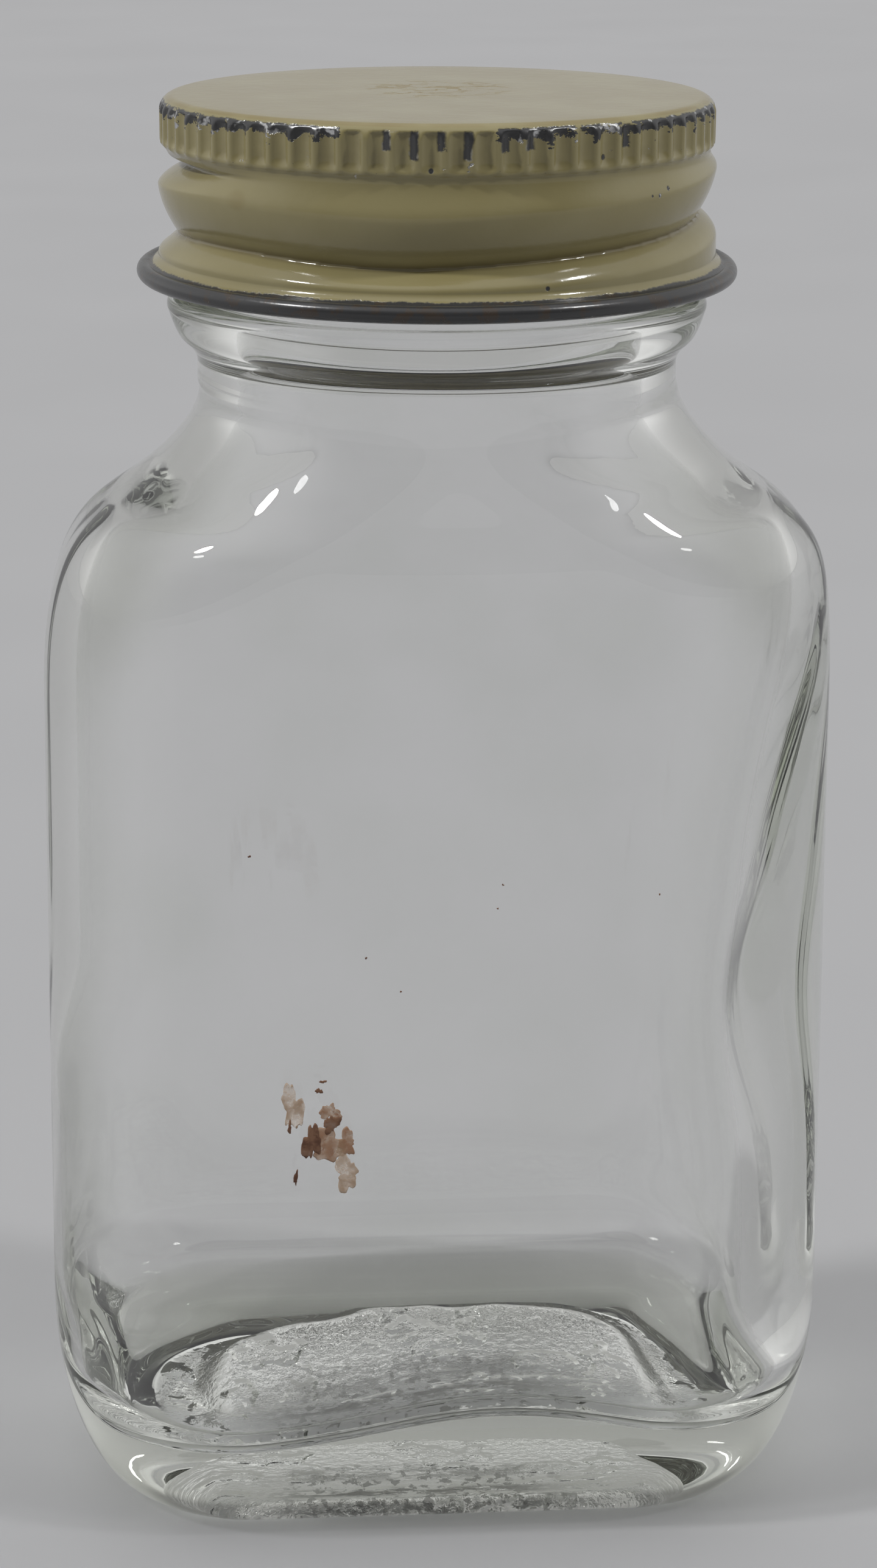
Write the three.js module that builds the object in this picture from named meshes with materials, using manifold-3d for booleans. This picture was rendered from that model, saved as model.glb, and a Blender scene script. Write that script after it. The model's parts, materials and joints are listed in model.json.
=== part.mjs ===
// Oblong wide-mouth tablet bottle in clear glass, closed by a pressed tinplate screw cap with a liner.
// Millimetres, +Z up, front panel facing -Y, origin at the middle of the base.

import * as THREE from 'three';
import { ParametricGeometry } from 'three/addons/geometries/ParametricGeometry.js';
import { mergeVertices } from 'three/addons/utils/BufferGeometryUtils.js';
import Module from 'manifold-3d';

const wasm = await Module();
wasm.setup();

// Body of the bottle
const bodyWidth = 50.2;
const sideTaper = 0.9;
const bodyDepth = 30.6;
const bodyCorner = 13.1;
const heelInset = 5.3;
const heelHeight = 13.3;
const bearingWidth = 1.2;
const pushUp = 2.4;
const shoulderStart = 52.6;
const shoulderRise = 19.1;
const shoulderFullness = 16.3;
const shoulderFlare = 5.7;
const shoulderDrop = 9.5;

// Thickness of the glass
const sideWall = 2.0;
const floorThickness = 6.9;
const floorCrown = 1.1;
const innerHeelInset = 3.2;
const innerHeelHeight = 4.0;
const shoulderWall = 1.0;

// Neck, transfer bead and finish
const boreRadius = 12.3;
const neckWall = 2.45;
const neckHeight = 2.0;
const finishWall = 2.8;
const beadWidth = 1.5;
const beadSlope = 3.9;
const beadRound = 0.8;
const beadSwell = 0.47;
const beadSwellHeight = 0.24;
const lipOuterRound = 1.0;
const lipInnerRound = 0.8;

// Screw thread, six turns to the inch, right hand
const threadPitch = 25.4 / 6;
const threadDepth = 1.05;
const threadWidth = 2.4;
const threadTurns = 1.0;
const threadTopMargin = 1.25;
const threadFade = 30;

// Cap
const sheet = 0.25;
const capHeight = 11.05;
const rimRound = 0.9;
const knurlHeight = 3.05;
const knurlInset = 0.2;
const knurlRunout = 0.35;
const fluteCount = 69;
const fluteDepth = 0.3;
const fluteRib = 0.32;
const fluteTopMargin = 0.42;
const curlRadius = 0.52;
const curlStandoff = 0.3;
const skirtRunout = 0.45;
const grooveStart = 2.75;
const grooveLowerReach = 1.4;
const grooveFlankPower = 1.7;
const grooveDip = 1.0;

// Angles round the cap in degrees from the front, where its groove starts, dips lowest and ends
const leftSide = -90;
const grooveFirst = -135;
const grooveDipFirst = -65;
const grooveDipLowest = -5;
const grooveDipLast = 230;
const grooveLast = 325;
const grooveFade = 45;

// Angles round the section of the curl where the sheet enters it and where its edge ends
const curlEntry = -0.94 * Math.PI;
const curlEdge = 0.7 * Math.PI;

// Liner
const boardThickness = 0.8;
const facingThickness = 0.2;

// Clearances between the pieces
const restGap = 0.03;
const linerClearance = 0.1;
const capClearance = 0.75;
const threadClearance = 0.6;
const flankClearance = 0.2;
const rootClearance = 0.5;

// Fineness of the faceted surfaces
const bottleSegments = 48;
const capSegments = 56;
const rowStep = 0.5;

// Radii that follow from the bore
const neckRadius = boreRadius + neckWall;
const rootRadius = boreRadius + finishWall;
const beadRadius = rootRadius + beadWidth;
const threadRadius = rootRadius + threadDepth;
const skirtInner = threadRadius + threadClearance;
const skirtRadius = skirtInner + sheet;
const knurlRadius = skirtRadius - knurlInset;
const knurlInner = knurlRadius - fluteDepth - sheet;
const grooveDepth = skirtInner - rootRadius - rootClearance;
const linerRadius = knurlRadius - rimRound - linerClearance;

// Heights that follow from the body upwards
const neckBase = shoulderStart + shoulderRise;
const beadBottom = neckBase + neckHeight;
const beadMiddle = beadBottom + beadSlope;
const beadTop = beadMiddle + beadRound;
const capBottom = beadTop + capClearance;
const linerTop = capHeight - sheet - restGap;
const facingTop = linerTop - boardThickness - restGap;
const lipHeight = capBottom + facingTop - facingThickness - restGap;

// The raised thread sits above the cap's groove, which is at grooveStart over the cap's edge on the left side
const threadSeat = threadWidth / 2 + flankClearance;
const threadHighest = lipHeight - threadTopMargin - threadWidth / 2;
const threadLast = leftSide + ((threadHighest - capBottom - grooveStart - threadSeat) / threadPitch) * 360;
const threadFirst = threadLast - threadTurns * 360;

const mix = THREE.MathUtils.lerp;
const smooth = THREE.MathUtils.smoothstep;

// A closed surface becomes a solid once its shared corners are merged
function toSolid(geometry) {
  geometry.deleteAttribute('normal');
  geometry.deleteAttribute('uv');
  const merged = mergeVertices(geometry, 1e-5);
  const corners = merged.index.array;
  const triVerts = [];
  for (let i = 0; i < corners.length; i += 3) {
    const [a, b, c] = corners.slice(i, i + 3);
    if (a !== b && b !== c && c !== a) {
      triVerts.push(a, b, c);
    }
  }
  return new wasm.Manifold(new wasm.Mesh({
    numProp: 3,
    vertProperties: merged.attributes.position.array,
    triVerts: new Uint32Array(triVerts),
  }));
}

function toMesh(name, solid, material) {
  const { vertProperties, triVerts } = solid.getMesh();
  const geometry = new THREE.BufferGeometry();
  geometry.setAttribute('position', new THREE.BufferAttribute(vertProperties, 3));
  geometry.setIndex(new THREE.BufferAttribute(triVerts, 1));
  geometry.computeVertexNormals();
  const mesh = new THREE.Mesh(geometry, material);
  mesh.name = name;
  return mesh;
}

// A level outline: a rounded rectangle, drawn at a share of its size about the axis
function outline(z, halfWidth, halfDepth, corner, share = 1) {
  return { z, halfWidth, halfDepth, corner, share };
}

function round(z, radius) {
  return outline(z, radius, radius, radius);
}

function closingPoint(section, z = section.z) {
  return { ...section, z, share: 0 };
}

// Distance from the axis to a rounded rectangle, at an angle from the front towards +X
function outlineRadius(section, angle) {
  const across = Math.abs(Math.sin(angle));
  const along = Math.abs(Math.cos(angle));
  const corner = Math.min(section.corner, section.halfWidth, section.halfDepth);
  const cornerX = section.halfWidth - corner;
  const cornerY = section.halfDepth - corner;
  if (section.halfWidth * along < cornerY * across) {
    return section.halfWidth / across;
  }
  if (section.halfDepth * across < cornerX * along) {
    return section.halfDepth / along;
  }
  const reach = across * cornerX + along * cornerY;
  return reach + Math.sqrt(reach ** 2 - cornerX ** 2 - cornerY ** 2 + corner ** 2);
}

// A solid through level outlines, from a point on the axis to a point on the axis
function loft(sections, segments, offset = () => 0) {
  const place = (u, v, target) => {
    const section = sections[Math.round(v * (sections.length - 1))];
    const angle = (u % 1) * 2 * Math.PI;
    const radius = section.share * (outlineRadius(section, angle) + offset(angle, section));
    target.set(radius * Math.sin(angle), -radius * Math.cos(angle), section.z);
  };
  return toSolid(new ParametricGeometry(place, segments, sections.length - 1));
}

// A quarter of an ellipse as points (radius, height)
function quarter(centreRadius, centreHeight, reachRadius, reachHeight, startAngle, endAngle, steps) {
  const clockwise = endAngle < startAngle;
  const curve = new THREE.EllipseCurve(
    centreRadius, centreHeight, reachRadius, reachHeight, startAngle, endAngle, clockwise);
  return curve.getPoints(steps);
}

// An upright wall as points (radius, height), close enough together to carry a thread
function wallRows(radius, bottom, top) {
  const rows = [];
  const rowCount = Math.ceil((top - bottom) / rowStep);
  for (let i = 0; i <= rowCount; i += 1) {
    rows.push(new THREE.Vector2(radius, mix(bottom, top, i / rowCount)));
  }
  return rows;
}

// The body's outline at a height, drawn in from its outer face by an inset
function bodyOutline(z, inset) {
  const rise = THREE.MathUtils.clamp((z - heelHeight) / (shoulderStart - heelHeight), 0, 1);
  const halfWidth = (bodyWidth - sideTaper * rise) / 2;
  return outline(z, halfWidth - inset, bodyDepth / 2 - inset, Math.max(bodyCorner - inset, 1));
}

// Rounded lower edge: an upright quarter ellipse from the floor of the body to its side
function heelOutlines(floor, height, inset, reach, steps) {
  const sections = [];
  for (let i = 0; i <= steps; i += 1) {
    const turn = (i / steps) * (Math.PI / 2);
    sections.push(bodyOutline(floor + height * (1 - Math.cos(turn)), inset + reach * (1 - Math.sin(turn))));
  }
  return sections;
}

// Shoulder: the oblong outline closes into a circle along an S-shaped curve
function shoulderOutlines(inset, radius, rise, steps) {
  const start = bodyOutline(shoulderStart, inset);
  const curve = new THREE.CubicBezierCurve(
    new THREE.Vector2(start.halfWidth, shoulderStart),
    new THREE.Vector2(start.halfWidth, shoulderStart + shoulderFullness),
    new THREE.Vector2(radius + shoulderFlare, shoulderStart + rise - shoulderDrop),
    new THREE.Vector2(radius, shoulderStart + rise));
  return curve.getPoints(steps).map((point) => {
    const closed = (start.halfWidth - point.x) / (start.halfWidth - radius);
    const halfDepth = mix(start.halfDepth, radius, closed);
    return outline(point.y, point.x, halfDepth, mix(start.corner, radius, closed));
  });
}

// A right-hand helix, by its angle in degrees from the front
function helixHeight(turned) {
  return grooveStart + (threadPitch * (turned - leftSide)) / 360;
}

// Every passage of a helix at one side of the axis
function passages(angle, first, last) {
  const degrees = THREE.MathUtils.radToDeg(angle);
  return [degrees - 720, degrees - 360, degrees, degrees + 360].filter((turn) => turn > first && turn < last);
}

function endFade(turned, first, last, length) {
  return smooth(turned, first, first + length) * (1 - smooth(turned, last - length, last));
}

// Raised thread of the finish
function threadRise(angle, section) {
  let rise = 0;
  for (const turned of passages(angle, threadFirst, threadLast)) {
    const across = (section.z - capBottom - helixHeight(turned) - threadSeat) / (threadWidth / 2);
    const height = Math.max(0, 1 - across ** 2) * endFade(turned, threadFirst, threadLast, threadFade);
    rise = Math.max(rise, threadDepth * height);
  }
  return rise;
}

function finishOutlines() {
  const slope = new THREE.QuadraticBezierCurve(
    new THREE.Vector2(neckRadius, beadBottom),
    new THREE.Vector2(mix(neckRadius, beadRadius, beadSwell), mix(beadBottom, beadMiddle, beadSwellHeight)),
    new THREE.Vector2(beadRadius, beadMiddle)).getPoints(4);
  const topRound = Math.min(beadRound, beadWidth);
  const top = quarter(beadRadius - topRound, beadMiddle, topRound, beadRound, 0, Math.PI / 2, 3);
  const foot = new THREE.Vector2(rootRadius, beadTop);
  const threadLowest = capBottom + helixHeight(threadFirst) + threadSeat - threadWidth / 2;
  const rows = wallRows(rootRadius, threadLowest, lipHeight - lipOuterRound);
  const lip = quarter(rootRadius - lipOuterRound, lipHeight - lipOuterRound, lipOuterRound, lipOuterRound,
    0, Math.PI / 2, 3);
  return [...slope, ...top.slice(1), foot, ...rows, ...lip.slice(1)].map((point) => round(point.y, point.x));
}

function makeGlass() {
  const bearing = bodyOutline(0, heelInset + bearingWidth);
  const base = [closingPoint(bearing, pushUp)];
  for (const share of [0.6, 0.85, 0.95]) {
    base.push({ ...bearing, z: pushUp * (1 - share ** 6), share });
  }
  const outside = [
    ...base,
    bearing,
    ...heelOutlines(0, heelHeight, 0, heelInset, 6),
    ...shoulderOutlines(0, neckRadius, shoulderRise, 9),
    ...finishOutlines(),
  ];
  outside.push(closingPoint(outside.at(-1)));

  const floor = bodyOutline(floorThickness, sideWall + innerHeelInset);
  const lip = quarter(boreRadius + lipInnerRound, lipHeight - lipInnerRound, lipInnerRound, lipInnerRound,
    Math.PI, Math.PI / 2, 3);
  const mouth = round(lipHeight + lipInnerRound, boreRadius + lipInnerRound);
  const inside = [
    closingPoint(floor, floorThickness + floorCrown),
    { ...floor, z: floorThickness + floorCrown / 2, share: 0.6 },
    ...heelOutlines(floorThickness, innerHeelHeight, sideWall, innerHeelInset, 4),
    ...shoulderOutlines(sideWall, boreRadius, shoulderRise - shoulderWall, 7),
    ...lip.map((point) => round(point.y, point.x)),
    mouth,
    closingPoint(mouth),
  ];
  return loft(outside, bottleSegments, threadRise).subtract(loft(inside, bottleSegments));
}

// Thread groove rolled into the skirt: its first part runs lower, as a lead-in
function groovePress(angle, section) {
  const skirtTop = capHeight - knurlHeight;
  const skirtBottom = 2 * curlRadius + skirtRunout;
  const onSkirt = smooth(section.z, skirtBottom, skirtBottom + grooveLowerReach / 2)
    * (1 - smooth(section.z, skirtTop - knurlRunout, skirtTop + knurlRunout));
  let press = 0;
  for (const turned of passages(angle, grooveFirst, grooveLast)) {
    const dip = grooveDip * smooth(turned, grooveDipFirst, grooveDipLowest)
      * (1 - smooth(turned, grooveDipLowest, grooveDipLast));
    const above = section.z - helixHeight(turned) + dip;
    const reach = above > 0 ? threadPitch / 2 : grooveLowerReach;
    const flank = Math.max(0, 1 - Math.hypot(above, sheet) / reach) ** grooveFlankPower;
    press = Math.max(press, flank * endFade(turned, grooveFirst, grooveLast, grooveFade));
  }
  return -grooveDepth * press * onSkirt;
}

function fluteCutter(index) {
  const spacing = (2 * Math.PI * knurlRadius) / fluteCount;
  const halfValley = (spacing - fluteRib) / 2;
  const scoop = (halfValley ** 2 + fluteDepth ** 2) / (2 * fluteDepth);
  const height = knurlHeight - fluteTopMargin;
  const angle = (index / fluteCount) * 2 * Math.PI;
  const centre = knurlRadius - fluteDepth + scoop;
  const geometry = new THREE.CylinderGeometry(scoop, scoop, height, 12);
  geometry.rotateX(Math.PI / 2);
  geometry.rotateZ(angle);
  geometry.translate(centre * Math.sin(angle), -centre * Math.cos(angle),
    capHeight - fluteTopMargin - height / 2);
  return toSolid(geometry);
}

function makeCapShell() {
  const knurlBottom = capHeight - knurlHeight;
  const skirtBottom = 2 * curlRadius + skirtRunout;
  const skirtTop = knurlBottom - knurlRunout;
  const curlCentre = skirtRadius + curlStandoff + curlRadius;
  const roofUnderside = capHeight - sheet;
  const rimCentre = knurlRadius - rimRound;
  const cornerReach = Math.max(knurlInner - rimCentre, sheet);

  const underside = quarter(rimCentre, capHeight - rimRound, cornerReach, rimRound - sheet,
    Math.PI / 2, 0, 3);
  const innerWall = wallRows(skirtInner, skirtBottom, skirtTop).reverse();
  const curl = quarter(curlCentre, curlRadius, curlRadius, curlRadius, curlEntry, curlEdge, 9);
  const outerWall = wallRows(skirtRadius, skirtBottom, skirtTop);
  const rim = quarter(rimCentre, capHeight - rimRound, rimRound, rimRound, 0, Math.PI / 2, 4);
  const profile = [
    ...underside,
    new THREE.Vector2(underside.at(-1).x, knurlBottom),
    ...innerWall,
    ...curl,
    ...outerWall,
    new THREE.Vector2(knurlRadius, knurlBottom),
    ...rim,
  ].map((point) => round(point.y, point.x));
  const sections = [closingPoint(profile[0], roofUnderside), ...profile, closingPoint(profile.at(-1))];

  let shell = loft(sections, capSegments, groovePress);
  for (let i = 0; i < fluteCount; i += 1) {
    shell = shell.subtract(fluteCutter(i));
  }
  return shell;
}

function makeDisc(radius, bottom, thickness) {
  const geometry = new THREE.CylinderGeometry(radius, radius, thickness, capSegments);
  geometry.rotateX(Math.PI / 2);
  geometry.translate(0, 0, bottom + thickness / 2);
  return toSolid(geometry);
}

const glass = new THREE.MeshStandardMaterial({ color: 0xdde4e0, roughness: 0.05, metalness: 0 });
const enamel = new THREE.MeshStandardMaterial({ color: 0xc9bf90, roughness: 0.35, metalness: 0 });
const pulpboard = new THREE.MeshStandardMaterial({ color: 0xa88e68, roughness: 0.95, metalness: 0 });
const waxedPaper = new THREE.MeshStandardMaterial({ color: 0xe6e0cc, roughness: 0.5, metalness: 0 });

const cap = new THREE.Group();
cap.position.z = capBottom;
cap.add(
  toMesh('cap_shell', makeCapShell(), enamel),
  toMesh('liner_board', makeDisc(linerRadius, linerTop - boardThickness, boardThickness), pulpboard),
  toMesh('liner_facing', makeDisc(linerRadius, facingTop - facingThickness, facingThickness), waxedPaper));

const bottle = new THREE.Group();
bottle.add(toMesh('glass_bottle', makeGlass(), glass), cap);

export default bottle;
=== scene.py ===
# %% [markdown]
# # An oblong tablet bottle with a pressed tin screw cap
#
# The bottle is clear glass, oblong in plan, with rounded shoulders and a wide round mouth. Its cap is
# pressed from tinplate, enamelled cream, fluted for the fingers and rolled into a dark bare bead at its
# edge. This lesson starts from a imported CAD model. It is the frame: it says where each piece is and what
# moves, and nothing here changes that.

# %% Load the frame
import json
import math

import bpy
import numpy as np
from mathutils import Matrix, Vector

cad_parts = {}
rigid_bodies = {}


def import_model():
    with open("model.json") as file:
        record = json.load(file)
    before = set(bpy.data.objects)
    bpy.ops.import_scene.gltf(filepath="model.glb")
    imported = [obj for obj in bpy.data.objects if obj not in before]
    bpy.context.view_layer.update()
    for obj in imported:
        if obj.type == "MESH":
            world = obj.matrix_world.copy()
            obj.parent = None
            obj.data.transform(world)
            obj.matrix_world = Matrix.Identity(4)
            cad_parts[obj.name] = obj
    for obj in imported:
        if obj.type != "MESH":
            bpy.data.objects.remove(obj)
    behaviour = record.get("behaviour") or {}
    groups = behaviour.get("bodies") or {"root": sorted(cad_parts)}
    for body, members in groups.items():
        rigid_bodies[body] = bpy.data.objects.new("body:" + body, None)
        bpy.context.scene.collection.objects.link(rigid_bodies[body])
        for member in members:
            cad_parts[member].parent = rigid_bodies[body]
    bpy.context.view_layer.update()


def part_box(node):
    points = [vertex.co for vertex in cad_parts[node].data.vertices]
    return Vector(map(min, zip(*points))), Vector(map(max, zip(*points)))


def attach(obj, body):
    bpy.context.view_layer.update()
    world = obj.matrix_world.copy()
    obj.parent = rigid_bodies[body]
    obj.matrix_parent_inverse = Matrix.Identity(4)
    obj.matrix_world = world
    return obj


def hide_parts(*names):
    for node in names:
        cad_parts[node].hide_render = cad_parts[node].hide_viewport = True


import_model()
MM = 0.001

# %% [markdown]
# ## Places that the frame gives
#
# A piece that stands for a CAD node has to sit where the node sits. Reading the boxes of the nodes is
# safer than typing the heights again, because the two can then never disagree. From here on lengths are
# in millimetres, which are easy to read for an object of this size, and they become metres when a mesh is
# made.

# %% Read the boxes of the nodes
def node_box(node):
    low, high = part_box(node)
    return np.array(low) / MM, np.array(high) / MM


glass_high = node_box("glass_bottle")[1]
cap_low, cap_high = node_box("cap_shell")
board_low, board_high = node_box("liner_board")
facing_low, facing_high = node_box("liner_facing")
body_half_width = glass_high[0]
lip_height = glass_high[2]
cap_bottom = cap_low[2]
cap_height = cap_high[2] - cap_low[2]
print(f"body {2 * body_half_width:.1f} mm wide, lip at {lip_height:.2f} mm, cap from {cap_bottom:.2f} mm")

# %% [markdown]
# ## Sums written on wires
#
# Shaders and geometry nodes are both graphs of small sums. Placing every Math node by hand hides the
# formula, so this class wraps one socket and lets it be added, multiplied and compared like a number.
# Each operation adds its node. Any other node comes from `node`, which sets the node's own settings
# first, because they decide its sockets.

# %% One class for sockets
class Wire:
    def __init__(self, socket):
        self.socket = socket
        self.tree = socket.id_data

    @staticmethod
    def node(tree, kind, settings=None, inputs=None, output=0):
        made = tree.nodes.new(kind)
        for name, value in (settings or {}).items():
            setattr(made, name, value)
        for key, value in (inputs or {}).items():
            if isinstance(value, Wire):
                tree.links.new(value.socket, made.inputs[key])
            else:
                made.inputs[key].default_value = value
        return Wire(made.outputs[output])

    def output(self, name):
        return Wire(self.socket.node.outputs[name])

    def math(self, operation, *others):
        inputs = dict(enumerate((self, *others)))
        return Wire.node(self.tree, "ShaderNodeMath", {"operation": operation}, inputs)

    def after(self, operation, first):
        return Wire.node(self.tree, "ShaderNodeMath", {"operation": operation}, {0: first, 1: self})

    def __add__(self, other):
        return self.math("ADD", other)

    def __sub__(self, other):
        return self.math("SUBTRACT", other)

    def __mul__(self, other):
        return self.math("MULTIPLY", other)

    def __truediv__(self, other):
        return self.math("DIVIDE", other)

    def __pow__(self, other):
        return self.math("POWER", other)

    def __rsub__(self, other):
        return self.after("SUBTRACT", other)

    def __rtruediv__(self, other):
        return self.after("DIVIDE", other)

    def __abs__(self):
        return self.math("ABSOLUTE")

    def __gt__(self, other):
        return self.math("GREATER_THAN", other)

    def __lt__(self, other):
        return self.math("LESS_THAN", other)

    __radd__ = __add__
    __rmul__ = __mul__

    def highest(self, other):
        return self.math("MAXIMUM", other)

    def lowest(self, other):
        return self.math("MINIMUM", other)

    def rise(self, start, end):
        """0 before start, 1 after end, and a soft slope between them"""
        inputs = {"Value": self, "From Min": start, "From Max": end}
        return Wire.node(self.tree, "ShaderNodeMapRange", {"interpolation_type": "SMOOTHSTEP"}, inputs)

    def hump(self, middle, half_width, softness):
        """1 near the middle and 0 away from it"""
        return 1 - abs(self - middle).rise(half_width - softness, half_width + softness)

    def parts(self):
        split = Wire.node(self.tree, "ShaderNodeSeparateXYZ", {}, {0: self})
        return split, split.output("Y"), split.output("Z")

    def scaled(self, factor):
        inputs = {0: self, "Scale": factor}
        return Wire.node(self.tree, "ShaderNodeVectorMath", {"operation": "SCALE"}, inputs)


def turn_from_front(x, y):
    """Angle round the axis in degrees: 0 at the front, 90 at +X"""
    return x.math("ARCTAN2", 0 - y) * math.degrees(1)


print("sums on sockets are ready")

# %% [markdown]
# ## A skin over rings
#
# Bottles and caps are all made of level rings: squeeze a ring, lift it, put the next one on top. A mesh
# over such rings needs no modelling tools, only a list of rings and a point at each end. The rings run up
# the outside, over the edge and down the inside, so one closed surface has a true wall thickness, which
# glass needs to bend light correctly.

# %% Make a closed mesh from rings
def skin(name, rings, attributes=None):
    """Closed mesh over rings of points in mm, where the first and the last ring close at their middle"""
    rings = np.asarray(rings, float)
    rows, columns = rings.shape[:2]
    points = np.concatenate([rings[:1].mean(1), rings.reshape(-1, 3), rings[-1:].mean(1)]) * MM
    index = 1 + np.arange(rows * columns).reshape(rows, columns)
    beside = np.roll(index, -1, axis=1)
    quads = np.stack([index[:-1], beside[:-1], beside[1:], index[1:]], axis=-1).reshape(-1, 4)
    last = len(points) - 1
    fans = [(0, int(b), int(a)) for a, b in zip(index[0], beside[0])]
    fans += [(int(a), int(b), last) for a, b in zip(index[-1], beside[-1])]
    mesh = bpy.data.meshes.new(name)
    mesh.from_pydata(points.tolist(), [], quads.tolist() + fans)
    for key, values in (attributes or {}).items():
        values = np.repeat(np.asarray(values, float), columns)
        layer = mesh.attributes.new(key, "FLOAT", "POINT")
        layer.data.foreach_set("value", np.concatenate([values[:1], values, values[-1:]]))
    mesh.shade_smooth()
    piece = bpy.data.objects.new(name, mesh)
    bpy.context.scene.collection.objects.link(piece)
    return piece


def triangles(piece):
    return sum(len(face.vertices) - 2 for face in piece.data.polygons)


def round_points(angles, radius, height):
    """A ring round the axis, which starts at the front"""
    level = np.full_like(angles, height)
    return np.stack([radius * np.sin(angles), -radius * np.cos(angles), level], axis=-1)


def arc(middle, reach, start, end, steps):
    """Points (radius, height) on a quarter or more of an ellipse, by angles in degrees"""
    turn = np.radians(np.linspace(start, end, steps + 1))
    return list(zip(middle[0] + reach[0] * np.cos(turn), middle[1] + reach[1] * np.sin(turn)))


def bezier(controls, steps):
    """Points on a smooth curve that is drawn towards its control points"""
    share = np.linspace(0, 1, steps + 1)
    points = [np.repeat([control], steps + 1, axis=0) for control in np.asarray(controls, float)]
    while len(points) > 1:
        points = [a + (b - a) * share[:, None] for a, b in zip(points, points[1:])]
    return points[0]


print("a ring skin is ready")

# %% [markdown]
# ## Rules that shape a blank
#
# A thread, a row of flutes and a rolled groove all follow a rule round the axis. Geometry Nodes suit
# this: a plain blank goes in, every point asks the rule how far it moves, and the sizes stay as named
# inputs of the tree. The result is turned into a plain mesh, because a finished piece carries no live
# modifier.

# %% Start and apply a rule
def new_rule(name, sizes):
    tree = bpy.data.node_groups.new(name, "GeometryNodeTree")
    tree.interface.new_socket("Blank", in_out="INPUT", socket_type="NodeSocketGeometry")
    for size in sizes:
        tree.interface.new_socket(size, in_out="INPUT", socket_type="NodeSocketFloat")
    tree.interface.new_socket("Shape", in_out="OUTPUT", socket_type="NodeSocketGeometry")
    blank = Wire.node(tree, "NodeGroupInput", output="Blank")
    return tree, blank, {size: blank.output(size) for size in sizes}


def moved(shape, offset):
    """Every point goes by an offset in mm"""
    inputs = {"Geometry": shape, "Offset": offset.scaled(MM)}
    return Wire.node(shape.tree, "GeometryNodeSetPosition", {}, inputs)


def remembered(shape, name, value):
    """A value of the rule stays on the mesh under a name, for the finish to read"""
    settings = {"data_type": "FLOAT", "domain": "POINT"}
    inputs = {"Geometry": shape, "Name": name, "Value": value}
    return Wire.node(shape.tree, "GeometryNodeStoreNamedAttribute", settings, inputs)


def end_rule(shape, finish):
    tree = shape.tree
    single = Wire.node(tree, "GeometryNodeRealizeInstances", {}, {"Geometry": shape})
    dressed = Wire.node(tree, "GeometryNodeSetMaterial", {}, {"Geometry": single, "Material": finish})
    tree.links.new(dressed.socket, tree.nodes.new("NodeGroupOutput").inputs["Shape"])


def shape_blank(piece, tree, sizes):
    """Run the rule on a blank, and keep its result as the piece's plain mesh"""
    modifier = piece.modifiers.new(tree.name, "NODES")
    modifier.node_group = tree
    for socket in tree.interface.items_tree:
        if socket.in_out == "INPUT" and socket.name in sizes:
            modifier[socket.identifier] = float(sizes[socket.name])
    ready = piece.evaluated_get(bpy.context.evaluated_depsgraph_get())
    mesh = bpy.data.meshes.new_from_object(ready)
    piece.modifiers.remove(modifier)
    piece.data = mesh
    mesh.name = piece.name
    print(f"{piece.name}: {triangles(piece)} triangles by the rule '{tree.name}'")


print("rules are ready")

# %% [markdown]
# ## Starting a finish
#
# Each finish reads Object coordinates, so its pattern is fixed to the piece. They come in metres, so they
# are scaled to millimetres once, at the start, and every later number in a finish can be read with a
# ruler.

# %% Helpers for finishes
def new_finish(name):
    finish = bpy.data.materials.new(name)
    finish.use_nodes = True
    tree = finish.node_tree
    tree.nodes.clear()
    place = Wire.node(tree, "ShaderNodeTexCoord", output="Object").scaled(1 / MM)
    return finish, tree, place


def close_finish(surface, volume=None):
    tree = surface.tree
    end = tree.nodes.new("ShaderNodeOutputMaterial")
    tree.links.new(surface.socket, end.inputs["Surface"])
    if volume:
        tree.links.new(volume.socket, end.inputs["Volume"])


def cloud(place, scale, detail=2.0, roughness=0.5):
    """Soft noise between 0 and 1, with its scale per mm"""
    inputs = {"Vector": place, "Scale": scale, "Detail": detail, "Roughness": roughness}
    return Wire.node(place.tree, "ShaderNodeTexNoise", {}, inputs)


def blend(factor, first, second):
    """From one colour to another, through the colour sockets of the Mix node, which are 6 and 7"""
    inputs = {0: factor, 6: first, 7: second}
    return Wire.node(factor.tree, "ShaderNodeMix", {"data_type": "RGBA"}, inputs, output=2)


def bump(height, distance):
    """A relief whose height of 1 stands for a distance in mm"""
    inputs = {"Strength": 1.0, "Distance": distance * MM, "Height": height}
    return Wire.node(height.tree, "ShaderNodeBump", {}, inputs)


def attribute(tree, name):
    """A value that a rule left on the mesh"""
    return Wire.node(tree, "ShaderNodeAttribute", {"attribute_name": name}, output="Fac")


def joined(x, y, z):
    tree = next(part.tree for part in (x, y, z) if isinstance(part, Wire))
    return Wire.node(tree, "ShaderNodeCombineXYZ", {}, {0: x, 1: y, 2: z})


print("finishes can start")
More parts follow.
